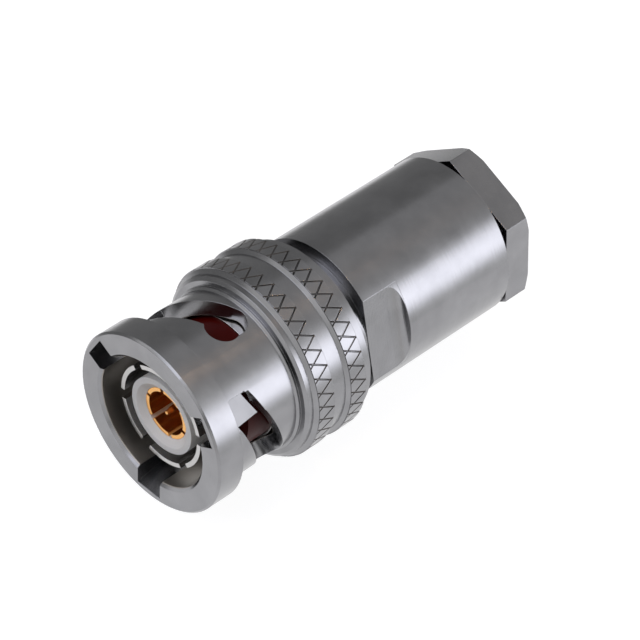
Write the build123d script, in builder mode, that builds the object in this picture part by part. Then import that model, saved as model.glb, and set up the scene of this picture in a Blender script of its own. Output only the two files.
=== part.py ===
"""Triaxial twist-lock plug: three lug cam nut, three contacts, clamped cable entry.

Units are millimetres. X runs along the plug from the mating face (X = 0) to the cable end,
and +Z is up, with one flat of the hexagonal clamp nut facing down.
A profile is drawn as (x, radius) and turned about the X axis.
"""
import os
from math import cos, radians, sin, tan

from build123d import *

os.makedirs("parts", exist_ok=True)

# Fits between pieces, and broken edges
thread_play = 0.03
slide_play = 0.15
seat_play = 0.02
edge_break = 0.15

# Coupling nut, outside
nut_length = 14.2
rim_radius = 6.91
rim_length = 2.17
barrel_radius = 6.14
barrel_back = 7.79
groove_cone = 0.12
groove_length = 0.17
groove_radius = 6.3
bead_foot_radius = 6.68
bead_cone = 0.165
bead_length = 0.425
bead_radius = 6.92
knurl_cone = 0.22
knurl_length = 1.38
knurl_radius = 7.25
band_length = 1.39
band_radius = 6.97
nut_tail_radius = 6.8

# Coupling nut, inside
nut_bore_radius = 5.0
nut_lead_in = 0.25
nut_web_front = 9.6
nut_web_thickness = 1.0
neck_radius = 4.1
web_play = 0.25
skirt_play = 0.35

# Bayonet: three lug notches, each with a cam slot that ends in a detent
lug_count = 3
first_lug_angle = 5.3
notch_width = 2.25
notch_radius = 6.4
notch_back = 4.9
bridge_radius = 6.09
bridge_slope = 8
bridge_thickness = 0.2
bridge_width = 2.4
bridge_turn = 2
bridge_backs = [4.1, 5.15]
cam_slot_width = 2.5
cam_end_angle = 68
detent_angle = 68.5
detent_advance = 0.65
cam_angles = [10, 24, 38, 52, 68]
cam_centres = [4.0, 4.66, 5.26, 5.83, 6.35]
entry_angles = [-8.3, 2, 12.5]
entry_fronts = [3.9, 4.395, 4.9]
entry_backs = [4.4, 4.855, 5.32]
cut_margin = 0.6

# Front shell with the slotted outer contact
contact_front = 1.0
contact_radius = 3.95
contact_wall = 0.35
contact_slots = 6
contact_slot_width = 0.8
contact_slot_length = 3.4
contact_slot_angle = 27.5
slot_margin = 0.2
flange_front = 7.0
flange_thickness = 0.7
tail_end = 14.2

# Seal in front of the flange
seal_length = 2.3
seal_radius = 4.7

# Spring pack between the flange and the nut's web
wave_thickness = 0.2
wave_count = 3
wave_sections = 15
thrust_thickness = 0.3
web_gap = 0.05

# Outer insulator
insulator_front = 1.1
insulator_radius = 2.95
insulator_step = 5.8
insulator_bore = 2.0
insulator_flare = 0.5
insulator_end = 13.0

# Intermediate contact
tine_front = 1.5
tine_wall = 0.3
tine_count = 6
tine_slot_width = 0.3
tine_slot_length = 4.2
tine_slot_angle = -8.5
tine_back = 15.5

# Inner insulator and centre pin
inner_insulator_front = 6.4
inner_insulator_length = 5.2
pin_front = 1.55
pin_radius = 0.25
pin_tip_radius = 0.12
pin_tip_length = 0.5
pin_shank_radius = 0.45
pin_pot_radius = 0.8
pin_pot_length = 3.2
pin_pot_bore = 0.5
pin_pot_depth = 2.4

# Rear shell
hub_radius = 5.15
shell_front = 15.65
shell_radius = 6.156
shell_end = 28.66
flats_across = 10.4
flats_length = 3.15
flats_angle = 141.5
shell_mid_bore = 3.9
cavity_front = 20.0
cavity_radius = 4.95

# Cable clamp
cable_bore_radius = 3.2
ferrule_wall = 0.42
ferrule_bore = 1.7
ferrule_setback = 0.4
outer_clamp_length = 2.75
outer_clamp_cone = 0.8
gasket_length = 2.1
slip_washer_thickness = 0.6
hex_gap = 0.34
hex_length = 2.3
hex_across_flats = 11.11
hex_bevel = 0.3
hex_turn = 0


def profile(points):
    """The closed outline through (x, radius) points, as a face in the XZ plane."""
    with BuildSketch(Plane.XZ) as outline:
        with BuildLine():
            Polyline(*points, close=True)
        make_face()
    return outline.sketch


def ring(front, back, inner, outer):
    """The outline of a plain turned ring."""
    return profile([(front, inner), (front, outer), (back, outer), (back, inner)])


def save(part, name):
    """Name a finished piece and write its STEP file."""
    part.label = name
    export_step(part, f"parts/{name}.step")


def radial_plane(angle):
    """The plane through the X axis whose second direction points outwards at the angle."""
    outward = Vector(0, cos(radians(angle)), sin(radians(angle)))
    return Plane(origin=(0, 0, 0), x_dir=(1, 0, 0), z_dir=Vector(1, 0, 0).cross(outward))


def mill_plane(angle, x):
    """The plane that faces outwards at the angle, with its origin on the axis at x."""
    outward = Vector(0, cos(radians(angle)), sin(radians(angle)))
    return Plane(origin=(x, 0, 0), x_dir=(1, 0, 0), z_dir=outward)


lug_angles = [first_lug_angle + 360 / lug_count * i for i in range(lug_count)]
cut_inner = nut_bore_radius - cut_margin
cut_outer = rim_radius + cut_margin
web_back = nut_web_front + nut_web_thickness
flange_back = flange_front + flange_thickness
flange_radius = nut_bore_radius - slide_play
nut_web_bore = neck_radius + web_play
skirt_bore = hub_radius + skirt_play

# Cutter for the wide part of the cam slot, with the end mill's round ends
with BuildPart() as cam_cutter:
    for angle, centre in zip(cam_angles, cam_centres):
        with BuildSketch(radial_plane(angle)):
            with Locations((centre, (cut_inner + cut_outer) / 2)):
                Rectangle(cam_slot_width, cut_outer - cut_inner)
    loft()
    with BuildSketch(mill_plane(cam_end_angle, cam_centres[-1]).offset(cut_inner)):
        Circle(cam_slot_width / 2)
    extrude(amount=cut_outer - cut_inner)
    with BuildSketch(mill_plane(detent_angle, cam_centres[-1] - detent_advance).offset(cut_inner)):
        Circle(cam_slot_width / 2)
    extrude(amount=cut_outer - cut_inner)

# Cutter for the narrow opening behind the bridge over each notch
with BuildPart() as entry_cutter:
    for angle, front, back in zip(entry_angles, entry_fronts, entry_backs):
        with BuildSketch(radial_plane(angle)):
            with Locations(((front + back) / 2, (cut_inner + cut_outer) / 2)):
                Rectangle(back - front, cut_outer - cut_inner)
    loft()

# Cutter for the sloping flat on the bridge over each notch
bridge_end = max(bridge_backs)
bridge_fall = tan(radians(bridge_slope))
with BuildPart() as bridge_cutter:
    with BuildSketch(radial_plane(0)):
        with BuildLine():
            Polyline(
                (rim_length, bridge_radius),
                (bridge_end, bridge_radius - (bridge_end - rim_length) * bridge_fall),
                (bridge_end, cut_outer),
                (rim_length, cut_outer),
                close=True,
            )
        make_face()
    extrude(amount=bridge_width / 2, both=True)
    with BuildSketch(mill_plane(0, 0).offset(cut_inner)):
        with BuildLine():
            Polyline(
                (rim_length, -bridge_width / 2),
                (rim_length, bridge_width / 2),
                (bridge_backs[0], bridge_width / 2),
                (bridge_backs[1], -bridge_width / 2),
                close=True,
            )
        make_face()
    extrude(amount=cut_outer - cut_inner, mode=Mode.INTERSECT)

# Cutter for each notch and the channel that runs on from it below the bridge
channel_radius = bridge_radius - bridge_thickness
with BuildPart() as notch_cutter:
    with BuildSketch(radial_plane(0)):
        with BuildLine():
            Polyline(
                (0, cut_inner),
                (0, notch_radius),
                (rim_length, channel_radius),
                (notch_back, channel_radius - (notch_back - rim_length) * bridge_fall),
                (notch_back, cut_inner),
                close=True,
            )
        make_face()
    extrude(amount=notch_width / 2, both=True)

# Coupling nut
groove_front = barrel_back + groove_cone
groove_back = groove_front + groove_length
bead_front = groove_back + bead_cone
bead_back = bead_front + bead_length
knurl_a_front = bead_back + knurl_cone
knurl_a_back = knurl_a_front + knurl_length
band_back = knurl_a_back + band_length
knurl_b_front = band_back + knurl_cone
knurl_b_back = knurl_b_front + knurl_length
with BuildPart() as coupling_nut:
    revolve(profile([
        (0, nut_bore_radius + nut_lead_in),
        (0, rim_radius - edge_break),
        (edge_break, rim_radius),
        (rim_length, rim_radius),
        (rim_length, barrel_radius),
        (barrel_back, barrel_radius),
        (groove_front, groove_radius),
        (groove_back, groove_radius),
        (groove_back, bead_foot_radius),
        (bead_front, bead_radius),
        (bead_back, bead_radius),
        (knurl_a_front, knurl_radius),
        (knurl_a_back, knurl_radius),
        (knurl_a_back, band_radius),
        (band_back, band_radius),
        (knurl_b_front, knurl_radius),
        (knurl_b_back, knurl_radius),
        (knurl_b_back, nut_tail_radius),
        (nut_length, nut_tail_radius),
        (nut_length, skirt_bore),
        (web_back, skirt_bore),
        (web_back, nut_web_bore),
        (nut_web_front, nut_web_bore),
        (nut_web_front, nut_bore_radius),
        (nut_lead_in, nut_bore_radius),
    ]), axis=Axis.X)
    for angle in lug_angles:
        add(notch_cutter.part.rotate(Axis.X, angle), mode=Mode.SUBTRACT)
        add(bridge_cutter.part.rotate(Axis.X, angle + bridge_turn), mode=Mode.SUBTRACT)
        add(entry_cutter.part.rotate(Axis.X, angle), mode=Mode.SUBTRACT)
        add(cam_cutter.part.rotate(Axis.X, angle), mode=Mode.SUBTRACT)
save(coupling_nut.part, "coupling_nut")

# Front shell: slotted outer contact, flange and threaded tail
with BuildPart() as front_shell:
    contact_bore = contact_radius - contact_wall
    revolve(profile([
        (contact_front, contact_bore),
        (contact_front, contact_radius),
        (flange_front, contact_radius),
        (flange_front, flange_radius),
        (flange_back, flange_radius),
        (flange_back, neck_radius),
        (tail_end, neck_radius),
        (tail_end, contact_bore),
    ]), axis=Axis.X)
    for i in range(contact_slots):
        angle = contact_slot_angle + 360 / contact_slots * i
        with BuildSketch(mill_plane(angle, contact_front).offset(contact_bore - slot_margin)):
            Rectangle(2 * contact_slot_length, contact_slot_width)
        extrude(amount=contact_wall + 2 * slot_margin, mode=Mode.SUBTRACT)
save(front_shell.part, "front_shell")

# Seal ring that the mating barrel closes on
with BuildPart() as face_seal:
    seal_front = flange_front - seal_length
    revolve(ring(seal_front, flange_front, contact_radius + seat_play, seal_radius), axis=Axis.X)
save(face_seal.part, "face_seal")

# Thrust washer between the spring pack and the nut's web
thrust_back = nut_web_front - web_gap
thrust_front = thrust_back - thrust_thickness
with BuildPart() as thrust_washer:
    revolve(ring(thrust_front, thrust_back, neck_radius + slide_play, flange_radius), axis=Axis.X)
save(thrust_washer.part, "thrust_washer")

# Two wave washers, set crest to crest
wave_height = (thrust_front - flange_back - 3 * seat_play) / 2
wave_rise = (wave_height - wave_thickness) / 2
wave_width = flange_radius - neck_radius - slide_play
wave_middle = neck_radius + slide_play + wave_width / 2
for name, centre, sense in [
    ("wave_washer_front", flange_back + seat_play + wave_height / 2, 1),
    ("wave_washer_rear", thrust_front - seat_play - wave_height / 2, -1),
]:
    with BuildPart() as wave_washer:
        for half in (0, 180):
            for step in range(wave_sections + 1):
                angle = half + 180 / wave_sections * step
                lift = sense * wave_rise * cos(radians(wave_count * angle))
                with BuildSketch(radial_plane(angle)):
                    with Locations((centre + lift, wave_middle)):
                        Rectangle(wave_thickness, wave_width)
            loft(ruled=True)
    save(wave_washer.part, name)

# Outer insulator, with its taper round the intermediate contact
with BuildPart() as outer_insulator:
    insulator_seat = contact_bore - seat_play
    revolve(profile([
        (tine_front, insulator_bore),
        (insulator_front, insulator_bore + insulator_flare),
        (insulator_front, insulator_radius),
        (insulator_step, insulator_radius),
        (insulator_step, insulator_seat),
        (insulator_end, insulator_seat),
        (insulator_end, insulator_bore),
    ]), axis=Axis.X)
save(outer_insulator.part, "outer_insulator")

# Intermediate contact with six tines
with BuildPart() as intermediate_contact:
    tine_radius = insulator_bore - seat_play
    tine_bore = tine_radius - tine_wall
    revolve(profile([
        (tine_front, tine_bore),
        (tine_front, tine_radius),
        (tine_back, tine_radius),
        (tine_back, tine_bore),
    ]), axis=Axis.X)
    for i in range(tine_count):
        angle = tine_slot_angle + 360 / tine_count * i
        with BuildSketch(mill_plane(angle, tine_front).offset(tine_bore - slot_margin)):
            Rectangle(2 * tine_slot_length, tine_slot_width)
        extrude(amount=tine_wall + 2 * slot_margin, mode=Mode.SUBTRACT)
save(intermediate_contact.part, "intermediate_contact")

# Inner insulator
inner_insulator_back = inner_insulator_front + inner_insulator_length
with BuildPart() as inner_insulator:
    inner_insulator_bore = pin_shank_radius + seat_play
    inner_insulator_radius = tine_bore - seat_play
    revolve(
        ring(inner_insulator_front, inner_insulator_back, inner_insulator_bore, inner_insulator_radius),
        axis=Axis.X,
    )
save(inner_insulator.part, "inner_insulator")

# Centre pin with its solder pot
with BuildPart() as centre_pin:
    pot_front = inner_insulator_back + seat_play
    pot_back = pot_front + pin_pot_length
    revolve(profile([
        (pin_front, 0),
        (pin_front, pin_tip_radius),
        (pin_front + pin_tip_length, pin_radius),
        (inner_insulator_front, pin_radius),
        (inner_insulator_front, pin_shank_radius),
        (pot_front, pin_shank_radius),
        (pot_front, pin_pot_radius),
        (pot_back, pin_pot_radius),
        (pot_back, pin_pot_bore),
        (pot_back - pin_pot_depth, pin_pot_bore),
        (pot_back - pin_pot_depth, 0),
    ]), axis=Axis.X)
save(centre_pin.part, "centre_pin")

# Rear shell with its two wrench flats
shell_face = web_back + web_gap
tail_pocket_end = tail_end + web_gap
with BuildPart() as rear_shell:
    revolve(profile([
        (shell_face, neck_radius + thread_play),
        (shell_face, hub_radius),
        (shell_front, hub_radius),
        (shell_front, shell_radius),
        (shell_end, shell_radius),
        (shell_end, cavity_radius),
        (cavity_front, cavity_radius),
        (cavity_front, shell_mid_bore),
        (tail_pocket_end, shell_mid_bore),
        (tail_pocket_end, neck_radius + thread_play),
    ]), axis=Axis.X)
    for angle in (flats_angle, flats_angle + 180):
        with BuildSketch(mill_plane(angle, shell_front).offset(flats_across / 2)):
            Rectangle(2 * flats_length, 2 * shell_radius)
        extrude(amount=shell_radius, mode=Mode.SUBTRACT)
save(rear_shell.part, "rear_shell")

# Ferrule that takes the inner braid, seated on the tail of the intermediate contact
ferrule_end = cavity_front - ferrule_setback
with BuildPart() as inner_ferrule:
    ferrule_radius = tine_radius + seat_play + ferrule_wall
    revolve(profile([
        (tail_pocket_end + seat_play, tine_radius + seat_play),
        (tail_pocket_end + seat_play, ferrule_radius),
        (ferrule_end, ferrule_radius),
        (ferrule_end, ferrule_bore),
        (tine_back + seat_play, ferrule_bore),
        (tine_back + seat_play, tine_radius + seat_play),
    ]), axis=Axis.X)
save(inner_ferrule.part, "inner_ferrule")

# Rear insulator between the ferrule and the shell
with BuildPart() as rear_insulator:
    rear_insulator_front = tail_pocket_end + seat_play
    rear_insulator_back = cavity_front - seat_play
    rear_insulator_radius = shell_mid_bore - seat_play
    revolve(
        ring(rear_insulator_front, rear_insulator_back, ferrule_radius + seat_play, rear_insulator_radius),
        axis=Axis.X,
    )
save(rear_insulator.part, "rear_insulator")

# Clamp ring for the outer braid
outer_clamp_front = cavity_front + seat_play
outer_clamp_back = outer_clamp_front + outer_clamp_length
clamp_fit_radius = cavity_radius - seat_play
with BuildPart() as outer_clamp:
    revolve(profile([
        (outer_clamp_front, cable_bore_radius),
        (outer_clamp_front, clamp_fit_radius - outer_clamp_cone),
        (outer_clamp_front + outer_clamp_cone, clamp_fit_radius),
        (outer_clamp_back, clamp_fit_radius),
        (outer_clamp_back, cable_bore_radius),
    ]), axis=Axis.X)
save(outer_clamp.part, "outer_clamp")

# Rubber gasket round the cable
gasket_front = outer_clamp_back + seat_play
gasket_back = gasket_front + gasket_length
with BuildPart() as cable_gasket:
    revolve(ring(gasket_front, gasket_back, cable_bore_radius, clamp_fit_radius), axis=Axis.X)
save(cable_gasket.part, "cable_gasket")

# Slip washer that keeps the turning nut off the gasket
slip_front = gasket_back + seat_play
slip_back = slip_front + slip_washer_thickness
with BuildPart() as slip_washer:
    revolve(ring(slip_front, slip_back, cable_bore_radius, cavity_radius - web_gap), axis=Axis.X)
save(slip_washer.part, "slip_washer")

# Clamp nut: hexagon with chamfered corners and a threaded shank
shank_front = slip_back + seat_play
hex_front = shell_end + hex_gap
hex_back = hex_front + hex_length
hex_corner = hex_across_flats / 2 / cos(radians(30))
hex_shoulder = hex_corner - hex_bevel / tan(radians(30))
with BuildPart() as clamp_nut:
    with BuildSketch(Plane.YZ.offset(hex_front)):
        RegularPolygon(hex_across_flats / 2, 6, major_radius=False, rotation=hex_turn)
    extrude(amount=hex_length)
    with BuildSketch(Plane.XZ):
        with BuildLine():
            Polyline(
                (hex_front, 0),
                (hex_front, hex_corner),
                (hex_back - hex_bevel, hex_corner),
                (hex_back, hex_shoulder),
                (hex_back, 0),
                close=True,
            )
        make_face()
    revolve(axis=Axis.X, mode=Mode.INTERSECT)
    with BuildSketch(Plane.YZ.offset(shank_front)):
        Circle(cavity_radius - thread_play)
    extrude(amount=hex_front - shank_front)
    with BuildSketch(Plane.YZ.offset(shank_front)):
        Circle(cable_bore_radius)
    extrude(amount=hex_back - shank_front, mode=Mode.SUBTRACT)
save(clamp_nut.part, "clamp_nut")
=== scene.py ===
"""Looks of the triaxial twist-lock plug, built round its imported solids. Metres, X along the plug."""

from math import cos, pi, radians, sin, sqrt

import bmesh
import bpy
from mathutils import Matrix, Vector


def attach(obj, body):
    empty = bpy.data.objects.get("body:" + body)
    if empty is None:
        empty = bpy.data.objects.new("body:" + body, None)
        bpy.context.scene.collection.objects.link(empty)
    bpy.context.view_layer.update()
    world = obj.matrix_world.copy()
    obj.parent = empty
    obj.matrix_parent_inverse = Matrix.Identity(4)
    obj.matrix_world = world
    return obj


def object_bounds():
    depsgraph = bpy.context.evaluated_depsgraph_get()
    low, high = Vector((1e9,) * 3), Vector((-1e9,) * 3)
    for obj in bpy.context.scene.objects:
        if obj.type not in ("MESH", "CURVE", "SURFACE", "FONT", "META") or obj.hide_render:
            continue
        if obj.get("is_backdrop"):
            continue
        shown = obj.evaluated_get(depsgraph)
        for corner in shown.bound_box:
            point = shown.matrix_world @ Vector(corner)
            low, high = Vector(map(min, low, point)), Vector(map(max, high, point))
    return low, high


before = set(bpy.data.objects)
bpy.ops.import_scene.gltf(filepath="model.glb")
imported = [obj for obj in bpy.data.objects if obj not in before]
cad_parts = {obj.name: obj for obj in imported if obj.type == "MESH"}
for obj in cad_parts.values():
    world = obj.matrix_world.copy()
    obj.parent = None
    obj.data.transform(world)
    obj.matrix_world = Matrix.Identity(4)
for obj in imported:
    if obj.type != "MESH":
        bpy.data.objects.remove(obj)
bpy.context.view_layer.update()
MM = 0.001

# Camera: its place, lens and sensor in millimetres, and the ways to its right and up
CAMERA_PLACE = Vector((-107.892, -40.199, 193.673))
CAMERA_RIGHT = Vector((0.7152, -0.61635, 0.32962))
CAMERA_UP = Vector((0.4554, 0.76864, 0.44922))
FOCAL_LENGTH = 188.6
SENSOR_WIDTH = 36

# Middle of the plug, which every card and lamp faces
PLUG_MIDDLE = Vector((14, 0, 0))

# Floor: its side in metres, and the glow that brings it to white under the lamps
FLOOR_SIDE = 4
FLOOR_GLOW = 0.84

# Lathe rings, in millimetres: how deep they are on each finish, how far apart on metal and on PTFE,
# and the distance over which they change round the plug
FINE_RINGS = 0.0012
FAINT_RINGS = 0.0008
COARSE_RINGS = 0.007
METAL_RING_SPACING = 0.12
PTFE_RING_SPACING = 0.15
RING_REACH = 12

# Walls of the coupling nut nearer the axis than this, in millimetres, look bored and are this much rougher,
# and their warmer colour there is painted warm light
BORE_AND_PAINTED_LIGHT_RADIUS = 5.05
BORED_ROUGHNESS = 0.18

# Edges that turn less than this are shaded smooth
SMOOTH_ANGLE = radians(20)

# Knurl, in millimetres: two bands of crossed grooves round the coupling nut
KNURL_CREST = 7.31
KNURL_ROOT = 7.235
KNURL_BACKING = 7.1
KNURL_FRONTS = (8.89, 11.88)
KNURL_LENGTH = 1.38
KNURL_OVERHANG = 0.015
GROOVE_COUNT = 41
GROOVE_HALF_WIDTH = 0.066
BAND_SEGMENTS = 246
# The bar that cuts a groove: its length, and how many times wider and higher than the groove it is
BAR_LENGTH = 2.6
BAR_EXCESS = 3
# Degrees: how far the grooves slant from the axis, where each way of grooves starts,
# and how far the rear band is turned from the front one
GROOVE_SLANT = 29.5
GROOVE_STARTS = {1: 4.02, -1: -1.32}
REAR_BAND_TURN = 4.2

# Run-outs of the two wrench flats on the rear shell, in millimetres and degrees
SHELL_RADIUS = 6.15
FLAT_HEIGHT = 5.2
FLAT_END = 18.8
FLAT_HALF_WIDTH = 3.6
FLAT_ANGLES = (141.5, 321.5)
RUN_OUT_RADIUS = 0.956
# How far a run-out reaches into the metal behind and under it
OVERLAP = 0.02
# The cylinders that shape a run-out: the mill, and a slice of the shell's outside
MILL_SEGMENTS = 96
MILL_LENGTH = 3 * FLAT_HALF_WIDTH
SHELL_SEGMENTS = 256
SHELL_SLICE = 4


def srgb(code):
    """A hex colour, as linear red, green, blue and full alpha."""
    parts = [int(code[i:i + 2], 16) / 255 for i in (0, 2, 4)]
    return [c / 12.92 if c <= 0.04045 else ((c + 0.055) / 1.055) ** 2.4 for c in parts] + [1.0]


def add_node(tree, kind, settings=None, links=None):
    """Adds one shader node. Settings are properties or socket values, links are sockets to join."""
    node = tree.nodes.new(kind)
    for key, value in (settings or {}).items():
        if isinstance(key, int) or key in node.inputs:
            node.inputs[key].default_value = value
        else:
            setattr(node, key, value)
    for key, source in (links or {}).items():
        tree.links.new(source, node.inputs[key])
    return node


def new_material(name):
    """An empty material, with its node tree and its output."""
    material = bpy.data.materials.new(name)
    material.use_nodes = True
    tree = material.node_tree
    tree.nodes.clear()
    output = tree.nodes.new("ShaderNodeOutputMaterial")
    return material, tree, output


def split_place(tree):
    """The X, Y and Z of a place on the plug."""
    coords = add_node(tree, "ShaderNodeTexCoord")
    return add_node(tree, "ShaderNodeSeparateXYZ", None, {0: coords.outputs["Object"]})


def distance_from_axis(tree, parts):
    """How far a place is from the plug's axis."""
    across = add_node(tree, "ShaderNodeCombineXYZ", None, {1: parts.outputs[1], 2: parts.outputs[2]})
    radius = add_node(tree, "ShaderNodeVectorMath", {"operation": "LENGTH"}, {0: across.outputs[0]})
    return radius.outputs["Value"]


def turned_pattern(tree, line_spacing):
    """Fine rings left by the lathe tool, about line_spacing metres apart, on walls and on faces."""
    parts = split_place(tree)
    along = add_node(tree, "ShaderNodeMath", {"operation": "DIVIDE", 1: line_spacing},
                     {0: parts.outputs[0]})
    outward = add_node(tree, "ShaderNodeMath", {"operation": "DIVIDE", 1: line_spacing},
                       {0: distance_from_axis(tree, parts)})
    round_way = add_node(tree, "ShaderNodeMath", {"operation": "DIVIDE", 1: RING_REACH * MM},
                         {0: parts.outputs[1]})
    place = add_node(tree, "ShaderNodeCombineXYZ", None,
                     {0: along.outputs[0], 1: outward.outputs[0], 2: round_way.outputs[0]})
    return add_node(tree, "ShaderNodeTexNoise", {"Scale": 1.0, "Detail": 1.5, "Roughness": 0.6},
                    {"Vector": place.outputs[0]})


def satin_nickel(name, ring_depth, dark="88888a", light="939395", bore_and_painted_light_radius=0.0):
    """Satin nickel plate over turned brass: soft grey metal, lathe rings, edges that catch light.
    Nearer the axis than bore_and_painted_light_radius, in millimetres, the metal is as bored and rougher,
    and its warmer colour there is painted warm light."""
    material, tree, output = new_material(name)
    rings = turned_pattern(tree, METAL_RING_SPACING * MM)
    coords = add_node(tree, "ShaderNodeTexCoord")
    # Plating that is a little duller in patches some 2 mm across
    patches = add_node(tree, "ShaderNodeTexNoise", {"Scale": 500.0, "Detail": 3.0},
                       {"Vector": coords.outputs["Object"]})
    roughness = add_node(tree, "ShaderNodeMapRange", {"To Min": 0.17, "To Max": 0.27},
                         {"Value": patches.outputs["Fac"]}).outputs["Result"]
    tint = add_node(tree, "ShaderNodeMapRange", {"From Min": 0.3, "From Max": 0.7},
                    {"Value": patches.outputs["Fac"]})
    colour = add_node(tree, "ShaderNodeMix", {"data_type": "RGBA", 6: srgb(dark), 7: srgb(light)},
                      {0: tint.outputs["Result"]}).outputs[2]
    if bore_and_painted_light_radius:
        radius = distance_from_axis(tree, split_place(tree))
        inside = add_node(tree, "ShaderNodeMath", {"operation": "LESS_THAN", 1: bore_and_painted_light_radius * MM},
                          {0: radius}).outputs[0]
        # Painted warm light: a warmer colour inside the bore
        colour = add_node(tree, "ShaderNodeMix", {"data_type": "RGBA", 7: srgb("8f8a84")},
                          {0: inside, 6: colour}).outputs[2]
        rougher = add_node(tree, "ShaderNodeMath", {"operation": "MULTIPLY", 1: BORED_ROUGHNESS},
                           {0: inside}).outputs[0]
        roughness = add_node(tree, "ShaderNodeMath", {"operation": "ADD"},
                             {0: roughness, 1: rougher}).outputs[0]
    edges = add_node(tree, "ShaderNodeBevel", {"samples": 6, "Radius": 0.05 * MM})
    relief = add_node(tree, "ShaderNodeBump", {"Strength": 1.0, "Distance": ring_depth * MM},
                      {"Height": rings.outputs["Fac"], "Normal": edges.outputs["Normal"]})
    shader = add_node(tree, "ShaderNodeBsdfPrincipled", {"Metallic": 1.0},
                      {"Base Color": colour, "Roughness": roughness, "Normal": relief.outputs["Normal"]})
    tree.links.new(shader.outputs["BSDF"], output.inputs["Surface"])
    return material


def gold_plate():
    """Gold plate over brass: warm yellow metal that turns orange inside the tines."""
    material, tree, output = new_material("gold_plate")
    coords = add_node(tree, "ShaderNodeTexCoord")
    # Faint drawing marks, some 0.2 mm apart
    marks = add_node(tree, "ShaderNodeTexNoise", {"Scale": 5000.0, "Detail": 2.0},
                     {"Vector": coords.outputs["Object"]})
    roughness = add_node(tree, "ShaderNodeMapRange", {"To Min": 0.18, "To Max": 0.3},
                         {"Value": marks.outputs["Fac"]})
    edges = add_node(tree, "ShaderNodeBevel", {"samples": 6, "Radius": 0.04 * MM})
    shader = add_node(tree, "ShaderNodeBsdfPrincipled",
                      {"Base Color": srgb("e8ae68"), "Metallic": 1.0},
                      {"Roughness": roughness.outputs["Result"], "Normal": edges.outputs["Normal"]})
    tree.links.new(shader.outputs["BSDF"], output.inputs["Surface"])
    return material


def ptfe():
    """Machined PTFE: waxy white, light gets a little way into it."""
    material, tree, output = new_material("machined_ptfe")
    rings = turned_pattern(tree, PTFE_RING_SPACING * MM)
    colour = add_node(tree, "ShaderNodeMix", {"data_type": "RGBA", 6: srgb("e2e0dc"), 7: srgb("eceae7")},
                      {0: rings.outputs["Fac"]})
    shader = add_node(tree, "ShaderNodeBsdfPrincipled",
                      {"Roughness": 0.42, "Subsurface Weight": 0.3, "Subsurface Scale": 0.4 * MM},
                      {"Base Color": colour.outputs[2]})
    shader.inputs["Subsurface Radius"].default_value = (1.0, 0.9, 0.8)
    tree.links.new(shader.outputs["BSDF"], output.inputs["Surface"])
    return material


def silicone():
    """Moulded silicone rubber: deep red and slightly dusty."""
    material, tree, output = new_material("moulded_silicone")
    coords = add_node(tree, "ShaderNodeTexCoord")
    # Moulding bloom in specks of about 0.3 mm
    bloom = add_node(tree, "ShaderNodeTexNoise", {"Scale": 3300.0, "Detail": 3.0},
                     {"Vector": coords.outputs["Object"]})
    colour = add_node(tree, "ShaderNodeMix", {"data_type": "RGBA", 6: srgb("3a0200"), 7: srgb("440401")},
                      {0: bloom.outputs["Fac"]})
    shader = add_node(tree, "ShaderNodeBsdfPrincipled", {"Roughness": 0.4, "Specular IOR Level": 0.08},
                      {"Base Color": colour.outputs[2]})
    tree.links.new(shader.outputs["BSDF"], output.inputs["Surface"])
    return material


def rubber():
    """Moulded nitrile rubber: matt black."""
    material, tree, output = new_material("moulded_nitrile_rubber")
    coords = add_node(tree, "ShaderNodeTexCoord")
    # Mould grain of about 0.2 mm
    grain = add_node(tree, "ShaderNodeTexNoise", {"Scale": 5000.0, "Detail": 2.0},
                     {"Vector": coords.outputs["Object"]})
    relief = add_node(tree, "ShaderNodeBump", {"Strength": 0.6, "Distance": 0.004 * MM},
                      {"Height": grain.outputs["Fac"]})
    shader = add_node(tree, "ShaderNodeBsdfPrincipled",
                      {"Base Color": srgb("1d1c1b"), "Roughness": 0.6},
                      {"Normal": relief.outputs["Normal"]})
    tree.links.new(shader.outputs["BSDF"], output.inputs["Surface"])
    return material


def steel():
    """Rolled spring steel: bright, with a rolling grain."""
    material, tree, output = new_material("rolled_spring_steel")
    coords = add_node(tree, "ShaderNodeTexCoord")
    # Rolling grain of about 0.3 mm
    grain = add_node(tree, "ShaderNodeTexNoise", {"Scale": 3300.0, "Detail": 3.0},
                     {"Vector": coords.outputs["Object"]})
    roughness = add_node(tree, "ShaderNodeMapRange", {"To Min": 0.25, "To Max": 0.4},
                         {"Value": grain.outputs["Fac"]})
    shader = add_node(tree, "ShaderNodeBsdfPrincipled",
                      {"Base Color": srgb("8e8d8b"), "Metallic": 1.0},
                      {"Roughness": roughness.outputs["Result"]})
    tree.links.new(shader.outputs["BSDF"], output.inputs["Surface"])
    return material


def place_camera():
    """The camera, at the photograph's viewing angle."""
    back = CAMERA_RIGHT.cross(CAMERA_UP)
    turn = Matrix((CAMERA_RIGHT, CAMERA_UP, back)).transposed().to_4x4()
    data = bpy.data.cameras.new("camera")
    data.lens = FOCAL_LENGTH
    data.sensor_width = SENSOR_WIDTH
    data.clip_start = 0.005
    data.clip_end = 10
    camera = bpy.data.objects.new("camera", data)
    bpy.context.scene.collection.objects.link(camera)
    camera.matrix_world = Matrix.Translation(CAMERA_PLACE * MM) @ turn
    bpy.context.scene.camera = camera


def seen_directly(tree):
    """1 for what the camera sees, straight or by way of metal or glass, and 0 for other rays."""
    path = add_node(tree, "ShaderNodeLightPath")
    straight = add_node(tree, "ShaderNodeMath", {"operation": "MAXIMUM"},
                        {0: path.outputs["Is Camera Ray"], 1: path.outputs["Is Glossy Ray"]})
    return add_node(tree, "ShaderNodeMath", {"operation": "MAXIMUM"},
                    {0: straight.outputs[0], 1: path.outputs["Is Transmission Ray"]})


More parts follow.
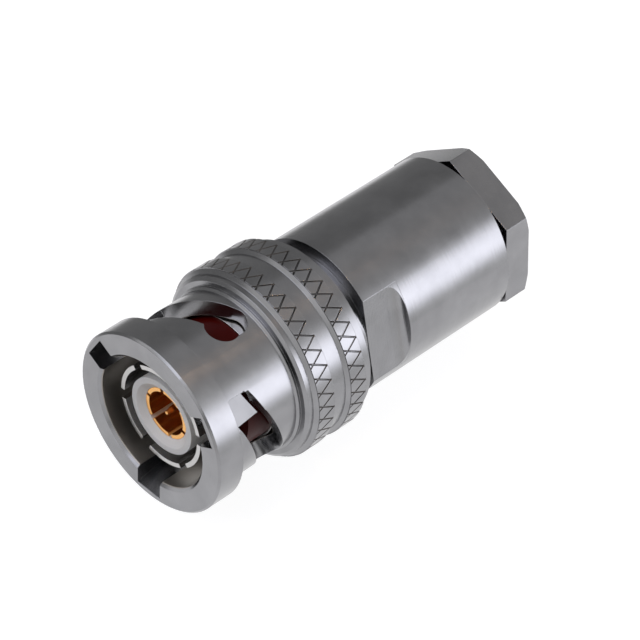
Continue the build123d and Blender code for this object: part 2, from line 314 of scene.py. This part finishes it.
def lay_floor():
    """A pale floor under the plug, white to the camera apart from the plug's soft shadow."""
    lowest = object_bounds()[0][2]
    bpy.ops.mesh.primitive_plane_add(size=FLOOR_SIDE, location=(0, 0, lowest))
    floor = bpy.context.object
    floor.name = "floor"
    material, tree, output = new_material("pale_floor")
    matt = add_node(tree, "ShaderNodeBsdfDiffuse", {"Color": srgb("a8a8a8")})
    glow = add_node(tree, "ShaderNodeEmission", {"Color": (1, 1, 1, 1), "Strength": FLOOR_GLOW})
    both = add_node(tree, "ShaderNodeAddShader", None, {0: matt.outputs[0], 1: glow.outputs[0]})
    mixed = add_node(tree, "ShaderNodeMixShader", None,
                     {0: seen_directly(tree).outputs[0], 1: matt.outputs[0], 2: both.outputs[0]})
    tree.links.new(mixed.outputs[0], output.inputs["Surface"])
    floor.data.materials.append(material)
    floor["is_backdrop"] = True


def add_card(name, place, size, colour, strength, fade, target=PLUG_MIDDLE):
    """A studio card that glows evenly and fades out towards its edges, in light or in dark.
    Its place and size are in millimetres, and fade is the part of each side, from the edge in,
    over which it goes."""
    bpy.ops.mesh.primitive_plane_add(size=1)
    card = bpy.context.object
    card.name = name
    aim = (Vector(place) - Vector(target)).to_track_quat("Z", "Y").to_matrix().to_4x4()
    scale = Matrix.Diagonal((size[0] * MM, size[1] * MM, 1, 1))
    card.matrix_world = Matrix.Translation(Vector(place) * MM) @ aim @ scale
    material, tree, output = new_material(name)
    coords = add_node(tree, "ShaderNodeTexCoord")
    parts = add_node(tree, "ShaderNodeSeparateXYZ", None, {0: coords.outputs["Object"]})
    sides = []
    for axis in (0, 1):
        away = add_node(tree, "ShaderNodeMath", {"operation": "ABSOLUTE"}, {0: parts.outputs[axis]})
        sides.append(add_node(tree, "ShaderNodeMapRange",
                              {"interpolation_type": "SMOOTHSTEP", "From Min": 0.5 - fade[axis],
                               "From Max": 0.5, "To Min": 1.0, "To Max": 0.0},
                              {"Value": away.outputs[0]}))
    cover = add_node(tree, "ShaderNodeMath", {"operation": "MULTIPLY"},
                     {0: sides[0].outputs["Result"], 1: sides[1].outputs["Result"]})
    clear = add_node(tree, "ShaderNodeBsdfTransparent")
    glow = add_node(tree, "ShaderNodeEmission", {"Color": srgb(colour), "Strength": strength})
    mixed = add_node(tree, "ShaderNodeMixShader", None,
                     {0: cover.outputs[0], 1: clear.outputs[0], 2: glow.outputs[0]})
    tree.links.new(mixed.outputs[0], output.inputs["Surface"])
    card.data.materials.append(material)
    card.visible_camera = False
    card.visible_shadow = False
    card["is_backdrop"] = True


def around(angle, lean, distance):
    """A place round the plug's middle, at a distance from it in millimetres.
    The angle, in degrees, goes from +Y towards +Z, and lean is the part of the way that is along +X."""
    side = sqrt(1 - lean * lean)
    return PLUG_MIDDLE + distance * Vector((lean, side * cos(radians(angle)), side * sin(radians(angle))))


def light_studio():
    """A broad soft box, a bright front card, a small warm lamp, and darker cards that the metal mirrors."""
    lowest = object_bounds()[0][2] / MM
    add_card("soft_box", around(143, 0.53, 400), (420, 330), "f6f7ff", 3.6, (0.35, 0.4))
    add_card("warm_lamp", around(82, 0.3, 400), (34, 26), "ffd0a0", 50.0, (0.3, 0.3))
    add_card("front_card", around(55, -0.53, 520), (640, 480), "f2f4ff", 2.6, (0.15, 0.25))
    add_card("dark_card", around(131, -0.53, 500), (430, 560), "100f0e", 1.0, (0.12, 0.25))
    add_card("warm_grey_card", around(206, -0.53, 560), (900, 600), "cfc6bd", 1.2, (0.15, 0.25))
    add_card("ceiling_card", around(66, 0.53, 460), (900, 520), "bdbdbe", 1.0, (0.2, 0.25))
    add_card("left_card", around(8, 0.4, 430), (900, 560), "959595", 1.0, (0.1, 0.2))
    # Lies just over the floor, to the left as the camera sees it, where the metal mirrors it
    floor_card = Vector((60, 262, lowest + 0.2))
    add_card("floor_card", floor_card, (900, 500), "959595", 1.0, (0.05, 0.012),
             floor_card - Vector((0, 0, 1)))
    world = bpy.data.worlds.new("studio")
    bpy.context.scene.world = world
    world.use_nodes = True
    tree = world.node_tree
    tree.nodes.clear()
    output = tree.nodes.new("ShaderNodeOutputWorld")
    surround = add_node(tree, "ShaderNodeBackground", {"Color": srgb("ebebec"), "Strength": 0.3})
    white = add_node(tree, "ShaderNodeBackground", {"Color": (1, 1, 1, 1), "Strength": 1.0})
    mixed = add_node(tree, "ShaderNodeMixShader", None,
                     {0: seen_directly(tree).outputs[0], 1: surround.outputs[0], 2: white.outputs[0]})
    tree.links.new(mixed.outputs[0], output.inputs["Surface"])


def select_only(*objects):
    """Leaves just these objects selected, the first of them active."""
    bpy.ops.object.select_all(action="DESELECT")
    for item in objects:
        item.select_set(True)
    bpy.context.view_layer.objects.active = objects[0]


def cut(piece, cutter, operation, material_mode="INDEX"):
    """Cuts a piece with another object, or trims it to that, and takes the other object away."""
    select_only(piece)
    step = piece.modifiers.new("cut", "BOOLEAN")
    step.operation = operation
    step.solver = "EXACT"
    step.material_mode = material_mode
    step.object = cutter
    bpy.ops.object.modifier_apply(modifier="cut")
    bpy.data.objects.remove(cutter)


def groove_cutter():
    """One V bar, along X over the top of the front knurl band, with its edge at the groove's root."""
    middle = (KNURL_FRONTS[0] + KNURL_LENGTH / 2) * MM
    rise = BAR_EXCESS * (KNURL_CREST - KNURL_ROOT)
    bpy.ops.mesh.primitive_cube_add(size=1)
    bar = bpy.context.object
    bar.name = "groove_cutter"
    bar.scale = (BAR_LENGTH * MM, 2 * BAR_EXCESS * GROOVE_HALF_WIDTH * MM, rise * MM)
    bpy.ops.object.transform_apply(location=False, rotation=False, scale=True)
    bpy.ops.object.mode_set(mode="EDIT")
    bpy.ops.mesh.select_all(action="DESELECT")
    shape = bmesh.from_edit_mesh(bar.data)
    for edge in shape.edges:
        first, second = edge.verts
        if first.co.z < 0 and second.co.z < 0 and abs(first.co.x - second.co.x) < 1e-9:
            edge.select_set(True)
    bmesh.update_edit_mesh(bar.data)
    bpy.ops.mesh.merge(type="COLLAPSE")
    bpy.ops.object.mode_set(mode="OBJECT")
    bar.data.transform(Matrix.Translation((middle, 0, (KNURL_ROOT + rise / 2) * MM)))
    return bar


def knurl_band(material, groove_shade_material):
    """The front knurl band: a sleeve over the nut, with both ways of grooves cut across it. The groove
    faces take the bars' much darker nickel, which is painted shade in the grooves.
    """
    middle = KNURL_FRONTS[0] + KNURL_LENGTH / 2
    bpy.ops.mesh.primitive_cylinder_add(vertices=BAND_SEGMENTS, radius=KNURL_CREST * MM,
                                        depth=(KNURL_LENGTH + 2 * KNURL_OVERHANG) * MM,
                                        end_fill_type="NOTHING",
                                        location=(middle * MM, 0, 0), rotation=(0, pi / 2, 0))
    band = bpy.context.object
    band.name = "knurl_band_front"
    bpy.ops.object.transform_apply()
    wall = band.modifiers.new("wall", "SOLIDIFY")
    wall.thickness = (KNURL_CREST - KNURL_BACKING) * MM
    wall.offset = -1
    bpy.ops.object.modifier_apply(modifier="wall")
    pattern = groove_cutter()
    band.data.materials.append(material)
    # The faces that the bars cut take the bars' darker nickel: painted shade in the grooves
    pattern.data.materials.append(groove_shade_material)
    to_middle = Matrix.Translation((middle * MM, 0, 0))
    from_middle = Matrix.Translation((-middle * MM, 0, 0))
    for way in (-1, 1):
        slant = to_middle @ Matrix.Rotation(radians(way * GROOVE_SLANT), 4, "Z") @ from_middle
        bars = []
        for i in range(GROOVE_COUNT):
            bar = pattern.copy()
            bar.data = pattern.data.copy()
            bpy.context.scene.collection.objects.link(bar)
            place = radians(GROOVE_STARTS[way]) + 2 * pi * i / GROOVE_COUNT
            bar.data.transform(Matrix.Rotation(place, 4, "X") @ slant)
            bars.append(bar)
        select_only(*bars)
        bpy.ops.object.join()
        cut(band, bpy.context.object, "DIFFERENCE", "TRANSFER")
    bpy.data.objects.remove(pattern)
    return band


def run_out(angle):
    """The hollow curve that the milling cutter leaves where a wrench flat ends."""
    low = FLAT_HEIGHT - OVERLAP
    back = FLAT_END + OVERLAP
    length = RUN_OUT_RADIUS + OVERLAP
    bpy.ops.mesh.primitive_cube_add(size=1)
    block = bpy.context.object
    block.name = "flat_run_out"
    block.scale = (length * MM, 2 * FLAT_HALF_WIDTH * MM, length * MM)
    bpy.ops.object.transform_apply(location=False, rotation=False, scale=True)
    block.data.transform(Matrix.Translation(((back - length / 2) * MM, 0, (low + length / 2) * MM)))
    bpy.ops.mesh.primitive_cylinder_add(vertices=MILL_SEGMENTS, radius=RUN_OUT_RADIUS * MM,
                                        depth=MILL_LENGTH * MM, rotation=(pi / 2, 0, 0),
                                        location=((FLAT_END - RUN_OUT_RADIUS) * MM, 0,
                                                  (FLAT_HEIGHT + RUN_OUT_RADIUS) * MM))
    mill = bpy.context.object
    bpy.ops.mesh.primitive_cylinder_add(vertices=SHELL_SEGMENTS, radius=SHELL_RADIUS * MM,
                                        depth=SHELL_SLICE * MM, rotation=(0, pi / 2, 0),
                                        location=(FLAT_END * MM, 0, 0))
    shell = bpy.context.object
    cut(block, mill, "DIFFERENCE")
    cut(block, shell, "INTERSECT")
    select_only(block)
    bpy.ops.object.shade_smooth_by_angle(angle=SMOOTH_ANGLE)
    block.data.transform(Matrix.Rotation(radians(angle - 90), 4, "X"))
    return block


def end_flats(material):
    """A run-out at the end of each wrench flat."""
    for number, angle in enumerate(FLAT_ANGLES, 1):
        piece = run_out(angle)
        piece.name = f"flat_run_out_{number}"
        piece.data.materials.clear()
        piece.data.materials.append(material)
        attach(piece, "plug_body")


def fit_knurls(material, groove_shade_material):
    """Both knurl bands, the rear one copied from the front one."""
    front = knurl_band(material, groove_shade_material)
    select_only(front)
    bpy.ops.object.shade_smooth_by_angle(angle=SMOOTH_ANGLE)
    rear = front.copy()
    rear.data = front.data.copy()
    rear.name = "knurl_band_rear"
    bpy.context.scene.collection.objects.link(rear)
    rear.data.transform(Matrix.Rotation(radians(REAR_BAND_TURN), 4, "X"))
    rear.data.transform(Matrix.Translation(((KNURL_FRONTS[1] - KNURL_FRONTS[0]) * MM, 0, 0)))
    for band in (front, rear):
        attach(band, "nut")


def dress(node, material):
    """Gives a CAD node its finish."""
    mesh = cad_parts[node].data
    mesh.materials.clear()
    mesh.materials.append(material)


bpy.ops.object.select_all(action="DESELECT")
place_camera()
lay_floor()
light_studio()

nickel = satin_nickel("satin_nickel_plate", FINE_RINGS)
ringed_nickel = satin_nickel("satin_nickel_plate_coarse_rings", COARSE_RINGS)
# Painted shade: a much darker nickel for the faces of the knurl grooves
groove_shade_nickel = satin_nickel("satin_nickel_plate_painted_groove_shade", FINE_RINGS, "3c3937", "4c4845")
finishes = {
    satin_nickel("satin_nickel_plate_bored_painted_warm_light", FINE_RINGS, bore_and_painted_light_radius=BORE_AND_PAINTED_LIGHT_RADIUS): ["coupling_nut"],
    nickel: ["clamp_nut", "outer_clamp", "inner_ferrule", "thrust_washer", "slip_washer"],
    # Painted light: the front shell's nickel is made lighter, so the inside of the plug reads lighter
    satin_nickel("nickel_plate_painted_light", FAINT_RINGS, "b4b3b1", "c0bfbe"): ["front_shell"],
    ringed_nickel: ["rear_shell"],
    steel(): ["wave_washer_front", "wave_washer_rear"],
    gold_plate(): ["intermediate_contact", "centre_pin"],
    ptfe(): ["outer_insulator", "inner_insulator", "rear_insulator"],
    silicone(): ["face_seal"],
    rubber(): ["cable_gasket"],
}
for material, nodes in finishes.items():
    for node in nodes:
        dress(node, material)
fit_knurls(nickel, groove_shade_nickel)
end_flats(ringed_nickel)

bpy.context.scene.view_settings.view_transform = "Standard"
